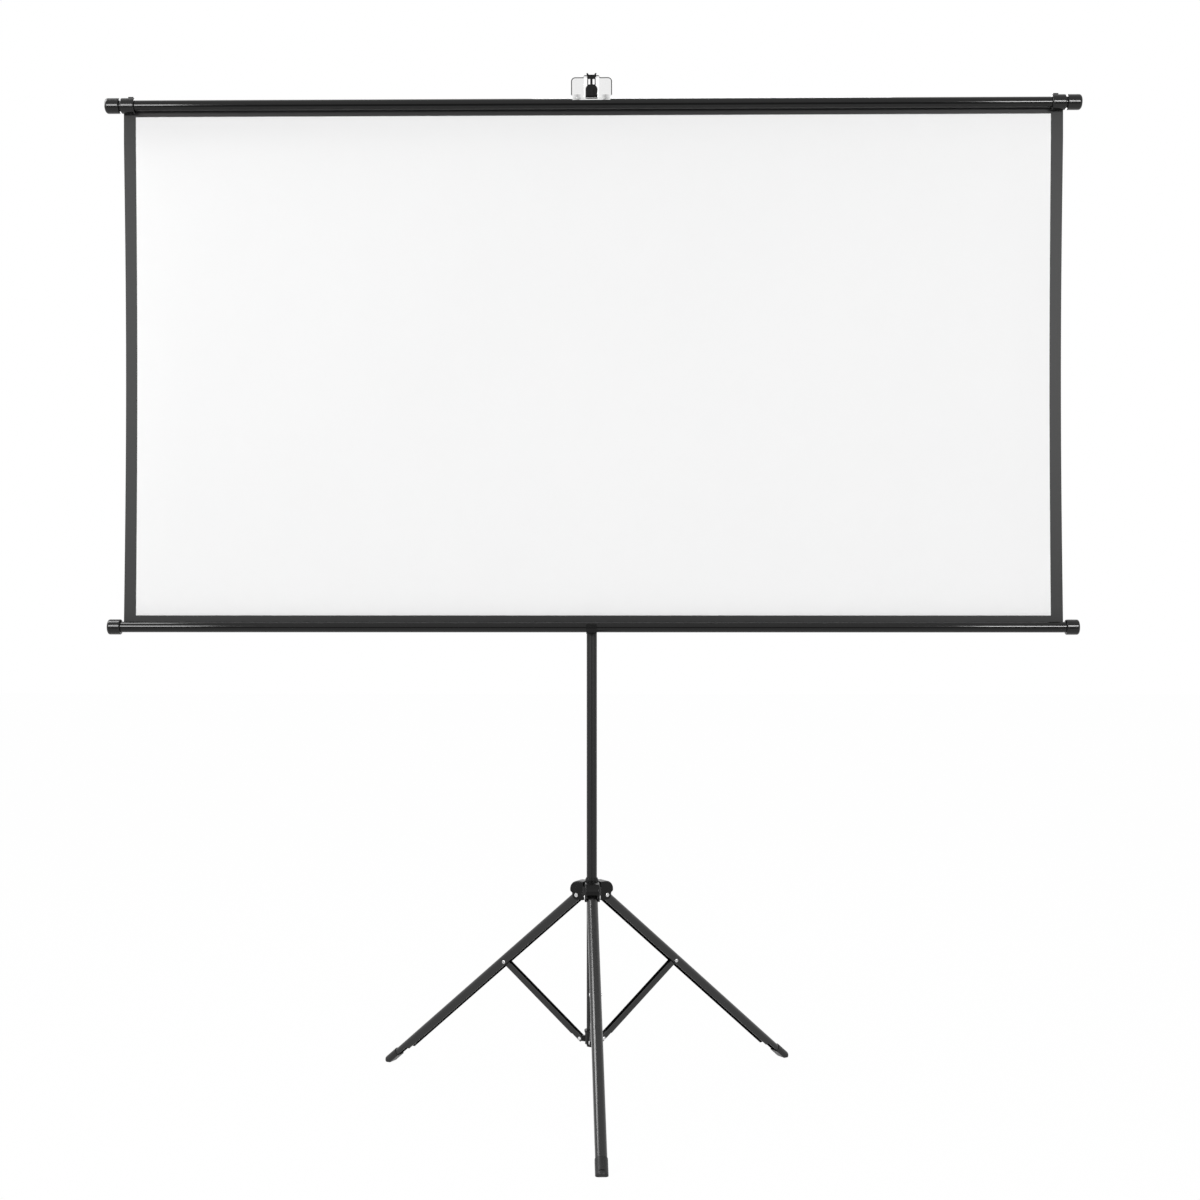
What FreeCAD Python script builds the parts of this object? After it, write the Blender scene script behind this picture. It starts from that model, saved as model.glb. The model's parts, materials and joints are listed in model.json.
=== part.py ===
import FreeCAD, Part
import math
import os
import re
import Sketcher

# Tripod projection screen of the 100 inch, 16:9 class.
# One white sheet with a black border hangs from a top bar and winds on a bottom bar. Both bars are held in
# front of a telescopic pole: the top bar by a bright hanger on the hook at the pole's head, the bottom bar in
# a cradle. The pole stands on three channel legs. Their hub slides up the pole while struts, pinned to a
# collar at the pole's foot, draw the legs in. Frame: +Z up, floor at z = 0, the screen faces -Y, and the
# origin lies on the floor under the middle of the object's box.

# Driving sizes in millimetres and degrees
SIZES = {
    # Sheet
    "view_width": 2220,
    "view_height": 1213,
    "border_side": 29.5,
    "border_top": 23.5,
    "border_bottom": 28,
    "sheet_thickness": 0.5,
    "sheet_gap": 0.3,
    "sheet_foot": 2,
    # Bars and what is on their ends
    "bar_diameter": 26,
    "bar_wall": 1.2,
    "bar_offset": 34,
    "bottom_bar_height": 1134,
    "top_bar_spare": 5.5,
    "bottom_bar_spare": 2.5,
    "cap_diameter": 37,
    "top_cap_dome": 7,
    "bottom_cap_dome": 5,
    "cap_edge": 2,
    "cap_plug": 25,
    "top_cap_length": 34.5,
    "bottom_cap_length": 31,
    "clip_diameter": 37,
    "clip_length": 33,
    "clip_groove": 4,
    "clip_edge": 2.5,
    "clip_tab_width": 9,
    "clip_tab_length": 13,
    "clip_tab_rise": 2.2,
    # Pole
    "lower_pole_diameter": 25,
    "lower_pole_wall": 1.2,
    "lower_pole_above_bar": 215.5,
    "upper_pole_diameter": 20,
    "upper_pole_wall": 1,
    "pole_overlap": 167,
    "pole_above_bar": 42,
    "pole_below_pin": 12,
    "guide_length": 30,
    "slider_length": 25,
    "plug_depth": 20,
    "plug_flange": 4,
    # Fits
    "slide_clearance": 0.3,
    "guide_clearance": 0.1,
    "pin_clearance": 0.05,
    "channel_clearance": 0.4,
    "seat_clearance": 0.15,
    # Pole clamp and the two locking knobs
    "clamp_radius": 17.5,
    "clamp_below": 22,
    "clamp_above": 18,
    "clamp_edge": 1.5,
    "boss_width": 14,
    "boss_reach": 28,
    "lock_screw_radius": 3,
    "knob_radius": 14,
    "knob_length": 14,
    "knob_gap": 1,
    "knob_cover": 3,
    "flute_radius": 4,
    "flute_count": 6,
    # Hook at the pole's head
    "hook_radius": 14.5,
    "hook_skirt": 13,
    "hook_floor": 16.8,
    "hook_top": 45,
    "hook_shoulder": 10,
    "hook_reach": 41,
    "hook_edge": 3,
    "hook_groove_width": 2.4,
    "hook_groove_depth": 1.2,
    "hook_groove_spread": 6,
    "tongue_half": 10.2,
    "tongue_root": 40,
    "tongue_top": 69,
    "horn_top": 72.8,
    "horn_width": 3.6,
    "horn_splay": 2,
    "tongue_slot_inner": 3,
    "tongue_slot_outer": 7.8,
    "tongue_slot_foot": 45.5,
    "tongue_slot_top": 60,
    "hook_rib_depth": 8,
    "hook_pin_radius": 2.2,
    "hook_pin_height": 5,
    # Hanger plate
    "plate_thickness": 1.5,
    "plate_half": 49.5,
    "plate_foot_half": 45.7,
    "plate_top": 64.6,
    "plate_round": 10,
    "plate_waist": 19,
    "plate_flare": 4,
    "plate_step_half": 17,
    "plate_step": 5,
    "window_half": 18.5,
    "window_foot": 16,
    "window_top": 64.5,
    "hump_middle": 34,
    "hump_half": 10.5,
    "hump_rise": 9,
    "hump_radius": 10.7,
    "hump_thickness": 3,
    "saddle_back_angle": 50,
    "saddle_front_angle": 154,
    "saddle_rivet_angle": 128,
    "saddle_rivet_spread": 31,
    # Cradle of the bottom bar
    "cradle_width": 25,
    "cradle_wall": 3.5,
    "cradle_lip": 7.5,
    "cradle_root": 12,
    "cradle_ring_radius": 16.5,
    "cradle_ring_top": 20,
    "cradle_screw_height": 8,
    # Small screws and rivets
    "screw_radius": 2,
    "screw_head_radius": 4,
    "screw_head": 2.4,
    "rivet_radius": 2.5,
    "rivet_head_radius": 4.5,
    "rivet_head": 1.8,
    "rivet_hollow_radius": 1.5,
    "rivet_hollow": 2.4,
    "hub_rivet_radius": 3,
    "hub_rivet_head_radius": 5.2,
    "hub_rivet_head": 2.2,
    # Hub
    "hub_pivot_radius": 33.2,
    "hub_sleeve_radius": 16.5,
    "hub_above": 34,
    "hub_below": 11,
    "hood_width": 36,
    "hood_reach": 52,
    "hood_curve": 20,
    "hood_arch": 5,
    "hood_lip": 4,
    "hood_nose": 7,
    "hood_round": 4,
    "hub_web_radius": 25,
    "hub_web_below": 2,
    "hub_web_edge": 22,
    "hub_web_top": 28,
    "hub_slot_radius": 19.5,
    "hub_ring_height": 9,
    "hub_ring_radius": 16,
    "hub_ring_mouth": 1,
    "hub_ring_skirt": 4.5,
    "hub_lock_height": 14,
    "hub_boss_reach": 36,
    # Legs and shoes
    "leg_open_angle": 49.5,
    "tripod_angle": 3.1,
    "leg_length": 744,
    "leg_width": 26,
    "leg_depth": 24,
    "leg_wall": 1.2,
    "leg_round": 12.5,
    "leg_end_gap": 14,
    "leg_trim": 78,
    "leg_trim_depth": 8,
    "leg_trim_slope": 8,
    "strut_pin_distance": 279.5,
    "strut_pin_inset": 5,
    "shoe_wall": 2.2,
    "shoe_side_wall": 1.1,
    "shoe_length": 44,
    "shoe_toe": 6,
    "shoe_crease": 10,
    "shoe_crease_width": 2,
    "shoe_crease_depth": 2,
    "sole_cut": 8,
    # Struts and spreader collar
    "strut_length": 269.5,
    "strut_width": 14,
    "strut_depth": 15.5,
    "strut_wall": 1.2,
    "strut_round": 3,
    "strut_fork": 24,
    "spacer_radius": 3.8,
    "collar_pin_radius": 30.5,
    "collar_radius": 16.5,
    "collar_flange_radius": 18,
    "collar_flange": 4,
    "collar_above": 24,
    "collar_below": 10,
    "collar_screw_height": 9,
    "lug_radius": 6,
    "lug_root": 14,
    "lug_slot_spare": 0.5,
}
LEGS = {"front": 0, "right": 120, "left": 240}

doc = FreeCAD.newDocument("tripod_screen")
sizes = doc.addObject("Spreadsheet::Sheet", "Sizes")
for row, (alias, number) in enumerate(SIZES.items(), start=1):
    sizes.set(f"A{row}", alias)
    sizes.set(f"B{row}", str(number))
    sizes.setAlias(f"B{row}", alias)
doc.recompute()

nodes = {}
UP = FreeCAD.Vector(0, 0, 1)
ACROSS = FreeCAD.Vector(1, 0, 0)
BACK = FreeCAD.Vector(0, 1, 0)
OVERCUT = 1


# Sizes and places

def bound(text):
    """The expression with each size word pointed at its cell."""
    return re.sub(r"[a-z]\w*", lambda word: f"Sizes.{word[0]}" if word[0] in SIZES else word[0], str(text))


def value(text):
    return float(sizes.evalExpression(bound(text)))


def bind(thing, **expressions):
    for prop, text in expressions.items():
        thing.setExpression(prop.replace("__", "."), bound(text))


def at(x=0.0, y=0.0, z=0.0, along=UP):
    """Place a piece's origin at a point and point its own Z axis along a direction."""
    return FreeCAD.Placement(FreeCAD.Vector(x, y, z), FreeCAD.Rotation(UP, along))


def turned(axis, degrees, place=FreeCAD.Vector()):
    return FreeCAD.Placement(place, FreeCAD.Rotation(axis, degrees))


def node(label, thing, place=None):
    """Name a finished sub-part; its label is also its file's name."""
    thing.Label = label
    if place is not None:
        thing.Placement = place
    nodes[label] = thing
    return thing


# Sketches and features

def origin_item(body, role):
    return next(item for item in body.Origin.OriginFeatures if item.Role == role)


def sketch_on(body, name, plane, lift="0"):
    sketch = body.newObject("Sketcher::SketchObject", name)
    sketch.AttachmentSupport = [(origin_item(body, plane), "")]
    sketch.MapMode = "FlatFace"
    bind(sketch, AttachmentOffset__Base__z=lift)
    return sketch


def hold(sketch, edge, point, x, y):
    """Hold one point of an edge at two bound distances from the sketch's origin."""
    for kind, axis, text in (("DistanceX", -2, x), ("DistanceY", -1, y)):
        distance = value(text)
        if abs(distance) < 1e-9:
            sketch.addConstraint(Sketcher.Constraint("PointOnObject", edge, point, axis))
        else:
            index = sketch.addConstraint(Sketcher.Constraint(kind, -1, 1, edge, point, distance))
            sketch.setExpression(f"Constraints[{index}]", bound(text))


def arc_between(start, end, radius, turn):
    """Arc of less than a half circle from start to end, bending left or right."""
    chord = end - start
    middle = (start + end) * 0.5
    left = FreeCAD.Vector(-chord.y, chord.x, 0).normalize()
    side = 1 if turn == "left" else -1
    rise = math.sqrt(max(radius ** 2 - (chord.Length / 2) ** 2, 0))
    centre = middle + left * (side * rise)
    first, last = (start, end) if turn == "left" else (end, start)
    angles = [math.atan2(point.y - centre.y, point.x - centre.x) for point in (first, last)]
    return Part.ArcOfCircle(Part.Circle(centre, UP, radius), *angles)


def outline(sketch, path):
    """Closed outline. Each step is the corner an edge leads to; radius and turn make that edge an arc."""
    corners = [FreeCAD.Vector(value(step[0]), value(step[1]), 0) for step in path]
    edges = []
    for index, step in enumerate(path):
        start, end = corners[index - 1], corners[index]
        if len(step) == 2:
            edges.append((sketch.addGeometry(Part.LineSegment(start, end)), 1, 2))
            continue
        radius, turn = step[2], step[3]
        edge = sketch.addGeometry(arc_between(start, end, value(radius), turn))
        edges.append((edge, 1, 2) if turn == "left" else (edge, 2, 1))
        limit = sketch.addConstraint(Sketcher.Constraint("Radius", edge, value(radius)))
        sketch.setExpression(f"Constraints[{limit}]", bound(radius))
    for index, (edge, first, last) in enumerate(edges):
        following, start, _ = edges[(index + 1) % len(edges)]
        sketch.addConstraint(Sketcher.Constraint("Coincident", edge, last, following, start))
        hold(sketch, edge, last, path[index][0], path[index][1])
    return sketch


def circle(sketch, x, y, radius):
    centre = FreeCAD.Vector(value(x), value(y), 0)
    edge = sketch.addGeometry(Part.Circle(centre, UP, value(radius)))
    limit = sketch.addConstraint(Sketcher.Constraint("Radius", edge, value(radius)))
    sketch.setExpression(f"Constraints[{limit}]", bound(radius))
    hold(sketch, edge, 3, x, y)
    return sketch


def rectangle(sketch, left, right, low, high):
    return outline(sketch, [(left, low), (right, low), (right, high), (left, high)])


def channel_outline(sketch, half, inner, outer, corner):
    """U section seen along its length: open side at inner, rounded back at outer."""
    return outline(sketch, [
        (inner, f"-({half})"),
        (f"{outer} - ({corner})", f"-({half})"),
        (outer, f"{corner} - ({half})", corner, "left"),
        (outer, f"{half} - ({corner})"),
        (f"{outer} - ({corner})", half, corner, "left"),
        (inner, half),
    ])


def extrude(kind, body, name, sketch, length=None, second=None, symmetric=False, flip=False):
    """Pad or Pocket: one length, a length each way, symmetric, or right through where no length is given."""
    feature = body.newObject(f"PartDesign::{kind}", name)
    feature.Profile = sketch
    feature.Reversed = flip
    feature.SideType = "Symmetric" if symmetric else "Two sides" if second else "One side"
    if length is None:
        feature.Type = "ThroughAll"
    else:
        bind(feature, Length=length)
    if second:
        bind(feature, Length2=second)
    body.Tip = feature
    return feature


def revolve(body, name, sketch):
    feature = body.newObject("PartDesign::Revolution", name)
    feature.Profile = sketch
    feature.ReferenceAxis = (origin_item(body, "Z_Axis"), [""])
    feature.Angle = 360
    body.Tip = feature
    return feature


def round_edges(body, name, radius, chosen):
    """Fillet the edges of the body so far whose midpoint the test picks."""
    doc.recompute()
    base = body.Tip
    picked = [f"Edge{index}" for index, edge in enumerate(base.Shape.Edges, start=1)
              if chosen(edge.CenterOfMass, edge)]
    feature = body.newObject("PartDesign::Fillet", name)
    feature.Base = (base, picked)
    bind(feature, Radius=radius)
    body.Tip = feature
    return feature


def three_times(body, name, *features):
    pattern = body.newObject("PartDesign::PolarPattern", name)
    pattern.Originals = list(features)
    pattern.Axis = (origin_item(body, "Z_Axis"), [""])
    pattern.Angle = 360
    pattern.Occurrences = len(LEGS)
    body.Tip = pattern
    return pattern


def new_body(name):
    return doc.addObject("PartDesign::Body", name)


# Solids of one kind

def rod(name, radius, length, place):
    thing = doc.addObject("Part::Cylinder", name)
    bind(thing, Radius=radius, Height=length)
    thing.Placement = place
    return thing


def joined(name, *pieces):
    thing = doc.addObject("Part::MultiFuse", name)
    thing.Shapes = list(pieces)
    return thing


def less(name, base, *tools):
    thing = doc.addObject("Part::Cut", name)
    thing.Base = base
    thing.Tool = tools[0] if len(tools) == 1 else joined(f"{name}_tools", *tools)
    return thing


def group(name, *pieces):
    thing = doc.addObject("Part::Compound", name)
    thing.Links = list(pieces)
    return thing


def tube(name, outer, inner, length, place):
    shell = rod(f"{name}_outside", outer, length, place)
    return less(f"{name}_wall", shell, rod(f"{name}_inside", inner, length, place))


def rivet(name, span, shank, head, rise):
    """Hollow-ended rivet along its own Z axis, middle at the origin, holding a stack of the given span."""
    body = new_body(name)
    seat = f"({span}) / 2"
    end = f"({seat} + ({rise}))"
    floor = f"({end} - rivet_hollow)"
    revolve(body, f"{name}_turn", outline(sketch_on(body, f"{name}_half", "XZ_Plane"), [
        ("0", f"-{floor}"),
        ("rivet_hollow_radius", f"-{floor}"),
        ("rivet_hollow_radius", f"-{end}"),
        (f"{head} - ({rise})", f"-{end}"),
        (head, f"-({seat})", rise, "left"),
        (shank, f"-({seat})"),
        (shank, seat),
        (head, seat),
        (f"{head} - ({rise})", end, rise, "left"),
        ("rivet_hollow_radius", end),
        ("rivet_hollow_radius", floor),
        ("0", floor),
    ]))
    return body


def screw(name, length, place):
    """Pan screw with its seat at the place and its head pointing along the place's Z axis."""
    shank = rod(f"{name}_shank", "screw_radius", length, place * at(0, 0, -value(length)))
    return joined(name, shank, rod(f"{name}_head", "screw_head_radius", "screw_head", place))


# Heights and angles that follow from the driving sizes

open_angle = math.radians(value("leg_open_angle"))
pivot_radius = value("hub_pivot_radius")
SHOE_INNER = "(leg_depth / 2 - leg_trim_depth + shoe_wall)"
SHOE_OUTER = "(leg_depth / 2 + shoe_wall)"
pivot_z = (value("leg_length") * math.cos(open_angle) + value(SHOE_INNER) * math.sin(open_angle)
           - value("sole_cut"))
strut_pin_r = (pivot_radius + value("strut_pin_distance") * math.sin(open_angle)
               - value("strut_pin_inset") * math.cos(open_angle))
strut_pin_z = (pivot_z - value("strut_pin_distance") * math.cos(open_angle)
               - value("strut_pin_inset") * math.sin(open_angle))
strut_angle = math.asin((strut_pin_r - value("collar_pin_radius")) / value("strut_length"))
collar_z = strut_pin_z - value("strut_length") * math.cos(strut_angle)
pole_foot_z = collar_z - value("pole_below_pin")
bottom_bar_z = value("bottom_bar_height")
lower_pole_top_z = bottom_bar_z + value("lower_pole_above_bar")
lower_pole_length = lower_pole_top_z - pole_foot_z
top_bar_z = bottom_bar_z + value("border_bottom + view_height + border_top")
upper_pole_foot_z = lower_pole_top_z - value("pole_overlap")
upper_pole_length = top_bar_z + value("pole_above_bar") - upper_pole_foot_z
bar_y = -value("bar_offset")
clamp_screw_z = lower_pole_top_z + value("clamp_above / 2")
hub_lock_z = pivot_z + value("hub_lock_height")
tripod_frame = turned(UP, value("tripod_angle") - 90)
BAR_RADIUS = "(bar_diameter / 2)"
BAR_BORE = "(bar_diameter / 2 - bar_wall)"
LOWER_RADIUS = "(lower_pole_diameter / 2)"
LOWER_BORE = "(lower_pole_diameter / 2 - lower_pole_wall)"
UPPER_RADIUS = "(upper_pole_diameter / 2)"
UPPER_BORE = "(upper_pole_diameter / 2 - upper_pole_wall)"
SHEET_WIDTH = "(view_width + 2 * border_side)"


def leg_frame(turn):
    """Radial frame of one leg: X outwards, Z up, on the pole's axis."""
    return tripod_frame * turned(UP, turn)


# Screen sheet

def make_sheet():
    sheet = doc.addObject("Part::Box", "screen_sheet")
    bind(sheet, Length=SHEET_WIDTH, Width="sheet_thickness",
         Height="border_bottom + view_height + border_top - sheet_foot")
    front = bar_y + value(f"{BAR_RADIUS} + sheet_gap")
    node("screen_sheet", sheet, at(-value(SHEET_WIDTH) / 2, front, bottom_bar_z + value("sheet_foot")))


# Bars with their end caps and the clips that grip the sheet's upper corners

def make_cap(label, length, dome, place):
    body = new_body(label)
    revolve(body, f"{label}_turn", outline(sketch_on(body, f"{label}_half", "XZ_Plane"), [
        ("0", "-cap_plug"),
        (BAR_BORE, "-cap_plug"),
        (BAR_BORE, "0"),
        ("cap_diameter / 2 - cap_edge", "0"),
        ("cap_diameter / 2", "cap_edge", "cap_edge", "left"),
        ("cap_diameter / 2", f"{length} - {dome}"),
        (f"cap_diameter / 2 - {dome}", length, dome, "left"),
        ("0", length),
    ]))
    node(label, body, place)


def make_clip(label, tab_start, place):
    """Ring clip with a release tab on top and a slot at its back that lets the sheet hang out.

    Its Z axis runs along the bar and its X axis down.
    """
    body = new_body(label)
    rim = "(clip_diameter / 2)"
    revolve(body, f"{label}_turn", outline(sketch_on(body, f"{label}_half", "XZ_Plane"), [
        (f"{BAR_RADIUS} + pin_clearance", "0"),
        (f"{rim} - clip_edge", "0"),
        (rim, "clip_edge", "clip_edge", "left"),
        (rim, "clip_length - clip_edge"),
        (f"{rim} - clip_edge", "clip_length", "clip_edge", "left"),
        (f"{BAR_RADIUS} + pin_clearance", "clip_length"),
    ]))
    tab = rectangle(sketch_on(body, f"{label}_tab_outline", "XY_Plane", tab_start), f"-{rim} - clip_tab_rise",
                    f"-({BAR_RADIUS} + {rim}) / 2", "-clip_tab_width / 2", "clip_tab_width / 2")
    extrude("Pad", body, f"{label}_tab", tab, "clip_tab_length")
    slot = rectangle(sketch_on(body, f"{label}_slot_outline", "XY_Plane"), "-sheet_foot",
                     f"{rim} + {OVERCUT}", BAR_RADIUS, f"{BAR_RADIUS} + 2 * sheet_gap + sheet_thickness")
    extrude("Pocket", body, f"{label}_slot", slot, symmetric=True)
    node(label, body, place)


def hanger_rivet_place(side):
    """Seat of a rivet on the saddle's front, its head pointing away from the bar."""
    angle = math.radians(value("saddle_rivet_angle"))
    outwards = FreeCAD.Vector(0, math.cos(angle), math.sin(angle))
    seat = outwards * value(f"{BAR_RADIUS} + pin_clearance + plate_thickness")
    return at(side * value("saddle_rivet_spread"), bar_y + seat.y, top_bar_z + seat.z, outwards)


def make_bars():
    tops = {"top": (top_bar_z, "top_bar_spare"), "bottom": (bottom_bar_z, "bottom_bar_spare")}
    for bar, (height, spare) in tops.items():
        half = value(f"{SHEET_WIDTH} / 2 + {spare}")
        wall = tube(f"{bar}_bar", BAR_RADIUS, BAR_BORE, f"{SHEET_WIDTH} + 2 * {spare}",
                    at(-half, bar_y, height, ACROSS))
        if bar == "top":
            depth = f"{BAR_RADIUS} + pin_clearance + plate_thickness"
            holes = [rod(f"top_bar_hole_{side}", "screw_radius", depth,
                         hanger_rivet_place(side) * at(0, 0, -value(depth))) for side in (-1, 1)]
            wall = less("top_bar_drilled", wall, *holes)
        node(f"{bar}_bar", wall)
        for name, side in (("left", -1), ("right", 1)):
            make_cap(f"{bar}_cap_{name}", f"{bar}_cap_length", f"{bar}_cap_dome",
                     at(side * half, bar_y, height, ACROSS * side))
    clip_end = value(f"{SHEET_WIDTH} / 2 + top_bar_spare - clip_groove")
    along_bar = turned(BACK, 90)
    inner_tab = "clip_length - clip_edge - clip_tab_length"
    for name, start, tab_start in (("left", -clip_end, inner_tab),
                                   ("right", clip_end - value("clip_length"), "clip_edge")):
        make_clip(f"sheet_clip_{name}", tab_start, at(start, bar_y, top_bar_z) * along_bar)


# Hanger plate on the top bar

def make_hanger():
    body = new_body("hanger_body")
    inner = f"({BAR_RADIUS} + pin_clearance)"
    outer = f"({inner} + plate_thickness)"
    middle = f"{inner} + plate_thickness / 2"
    shoulder = "plate_top - plate_round"
    crown = "plate_top + plate_step"
    plate = outline(sketch_on(body, "hanger_outline", "XZ_Plane"), [
        ("-plate_foot_half", middle),
        ("plate_foot_half", middle),
        ("plate_foot_half", "plate_waist"),
        ("plate_half", "plate_waist + plate_flare"),
        ("plate_half", shoulder),
        ("plate_half - plate_round", "plate_top", "plate_round", "left"),
        ("plate_step_half + plate_flare", "plate_top"),
        ("plate_step_half", crown),
        ("-plate_step_half", crown),
        ("-plate_step_half - plate_flare", "plate_top"),
        ("plate_round - plate_half", "plate_top"),
        ("-plate_half", shoulder, "plate_round", "left"),
        ("-plate_half", "plate_waist + plate_flare"),
        ("-plate_foot_half", "plate_waist"),
    ])
    extrude("Pad", body, "hanger_plate_pad", plate, "plate_thickness", symmetric=True)
    front = ("cos(saddle_front_angle)", "sin(saddle_front_angle)")
    back = ("cos(saddle_back_angle)", "sin(saddle_back_angle)")
    saddle = outline(sketch_on(body, "saddle_outline", "YZ_Plane"), [
        (f"{inner} * {back[0]}", f"{inner} * {back[1]}", inner, "right"),
        (f"{outer} * {back[0]}", f"{outer} * {back[1]}"),
        (f"{outer} * {front[0]}", f"{outer} * {front[1]}", outer, "left"),
        (f"{inner} * {front[0]}", f"{inner} * {front[1]}"),
    ])
    extrude("Pad", body, "saddle_pad", saddle, "2 * plate_foot_half", symmetric=True)
    for name, middle_x in (("left", "-hump_middle"), ("right", "hump_middle")):
        hump = outline(sketch_on(body, f"hanger_hump_{name}_outline", "XZ_Plane"), [
            (f"{middle_x} + hump_half", middle),
            (middle_x, f"{middle} + hump_rise", "hump_radius", "left"),
            (f"{middle_x} - hump_half", middle, "hump_radius", "left"),
        ])
        extrude("Pad", body, f"hanger_hump_{name}", hump, "hump_thickness")
    window = rectangle(sketch_on(body, "hanger_window_outline", "XZ_Plane"),
                       "-window_half", "window_half", "window_foot", "window_top")
    extrude("Pocket", body, "hanger_window", window, symmetric=True)
    body.Placement = at(0, bar_y, top_bar_z)
    length = f"{outer} - {BAR_BORE}"
    places = {side: hanger_rivet_place(side) for side in (-1, 1)}
    holes = [rod(f"hanger_hole_{side}", "screw_radius", length, place * at(0, 0, -value(length)))
             for side, place in places.items()]
    node("hanger_plate", less("hanger_drilled", body, *holes))
    rivets = [screw(f"hanger_rivet_{side}", length, place) for side, place in places.items()]
    node("hanger_rivets", group("hanger_rivet_pair", *rivets))


# Hook at the pole's head: a socket over the pole, a nose through the hanger's window and a forked tongue

def make_hook():
    body = new_body("head_hook")
    socket = circle(sketch_on(body, "socket_outline", "XY_Plane", "-hook_skirt"), "0", "0", "hook_radius")
    extrude("Pad", body, "socket", socket, "hook_skirt + hook_top")
    nose = outline(sketch_on(body, "nose_outline", "XZ_Plane"), [
        ("-hook_radius", "hook_floor"),
        ("hook_radius", "hook_floor"),
        ("hook_radius", "hook_top - hook_shoulder"),
        ("hook_radius - hook_shoulder", "hook_top", "hook_shoulder", "left"),
        ("hook_shoulder - hook_radius", "hook_top"),
        ("-hook_radius", "hook_top - hook_shoulder", "hook_shoulder", "left"),
    ])
    extrude("Pad", body, "nose", nose, "hook_reach")
    front = -value("hook_reach")
    round_edges(body, "nose_edge", "hook_edge", lambda middle, edge: abs(middle.y - front) < 0.01)
    for name, centre in (("nose_groove_left", "-hook_groove_spread"),
                         ("nose_groove_right", "hook_groove_spread")):
        groove = rectangle(sketch_on(body, f"{name}_outline", "XZ_Plane", "hook_reach"),
                           f"{centre} - hook_groove_width / 2", f"{centre} + hook_groove_width / 2",
                           "hook_floor + hook_edge", "hook_top - hook_shoulder")
        extrude("Pocket", body, name, groove, "hook_groove_depth")
    tongue_back = "bar_offset + plate_thickness / 2 + sheet_gap"
    horn = "(tongue_half + horn_splay - horn_width)"
    tongue = outline(sketch_on(body, "tongue_outline", "XZ_Plane", tongue_back), [
        ("-tongue_half", "tongue_root"),
        ("tongue_half", "tongue_root"),
        ("tongue_half", "tongue_slot_top"),
        ("tongue_half + horn_splay", "horn_top"),
        (horn, "horn_top"),
        (f"{horn} - horn_width / 2", "tongue_top"),
        (f"horn_width / 2 - {horn}", "tongue_top"),
        (f"-{horn}", "horn_top"),
        ("-tongue_half - horn_splay", "horn_top"),
        ("-tongue_half", "tongue_slot_top"),
    ])
    extrude("Pad", body, "tongue", tongue, f"hook_reach - ({tongue_back})")
    for name, left, right in (("left", "-tongue_slot_outer", "-tongue_slot_inner"),
                              ("right", "tongue_slot_inner", "tongue_slot_outer")):
        slot = rectangle(sketch_on(body, f"tongue_slot_{name}_outline", "XZ_Plane"), left, right,
                         "tongue_slot_foot", "tongue_slot_top")
        extrude("Pocket", body, f"tongue_slot_{name}", slot, symmetric=True)
    rib = rectangle(sketch_on(body, "hook_rib_outline", "XZ_Plane", "bar_offset - hook_rib_depth"),
                    "-tongue_slot_inner", "tongue_slot_inner", "tongue_root", "window_top - pin_clearance")
    extrude("Pad", body, "hook_rib", rib, f"{tongue_back} - (bar_offset - hook_rib_depth)")
    bore = circle(sketch_on(body, "socket_bore_outline", "XY_Plane", "-hook_skirt"), "0", "0", UPPER_RADIUS)
    extrude("Pocket", body, "socket_bore", bore, "hook_skirt + pole_above_bar", flip=True)
    hole = circle(sketch_on(body, "hook_pin_hole_outline", "YZ_Plane"), "0", "hook_pin_height",
                  "hook_pin_radius")
    extrude("Pocket", body, "hook_pin_hole", hole, symmetric=True)
    node("head_hook", body, at(0, 0, top_bar_z))
    pin = rod("head_hook_pin", "hook_pin_radius", "2 * hook_radius",
              at(-value("hook_radius"), 0, top_bar_z + value("hook_pin_height"), ACROSS))
    node("head_hook_pin", pin)


# Telescopic pole

def screw_hole(name, reach, z, direction):
    """Drill for a small screw from the pole's axis outwards."""
    return rod(name, "screw_radius", reach, at(0, 0, z, direction))


def make_poles():
    lower = tube("lower_pole", LOWER_RADIUS, LOWER_BORE, lower_pole_length, at(0, 0, pole_foot_z))
    collar_back = tripod_frame.Rotation.multVec(FreeCAD.Vector(-1, 0, 0))
    holes = [
        screw_hole("cradle_screw_drill", LOWER_RADIUS, bottom_bar_z + value("cradle_screw_height"), BACK),
        screw_hole("collar_screw_drill", LOWER_RADIUS, collar_z + value("collar_screw_height"), collar_back),
    ]
    node("lower_pole", less("lower_pole_drilled", lower, *holes))
    upper = tube("upper_pole", UPPER_RADIUS, UPPER_BORE, upper_pole_length, at(0, 0, upper_pole_foot_z))
    pin_drill = rod("upper_pole_drill", "hook_pin_radius", "2 * upper_pole_diameter",
                    at(-value("upper_pole_diameter"), 0, top_bar_z + value("hook_pin_height"), ACROSS))
    node("upper_pole", less("upper_pole_drilled", upper, pin_drill))
    node("pole_guide", tube("pole_guide", LOWER_BORE, f"{UPPER_RADIUS} + guide_clearance", "guide_length",
                            at(0, 0, lower_pole_top_z - value("guide_length"))))
    node("pole_slider", tube("pole_slider", f"{LOWER_BORE} - guide_clearance", UPPER_RADIUS, "slider_length",
                             at(0, 0, upper_pole_foot_z)))
    plug = rod("plug_core", LOWER_BORE, "plug_depth", at(0, 0, pole_foot_z))
    flange = rod("plug_flange_disc", LOWER_RADIUS, "plug_flange",
                 at(0, 0, pole_foot_z - value("plug_flange")))
    node("pole_foot_plug", joined("pole_foot_plug", plug, flange))


# Clamp that holds the upper pole, and the knobs of clamp and hub

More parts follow.
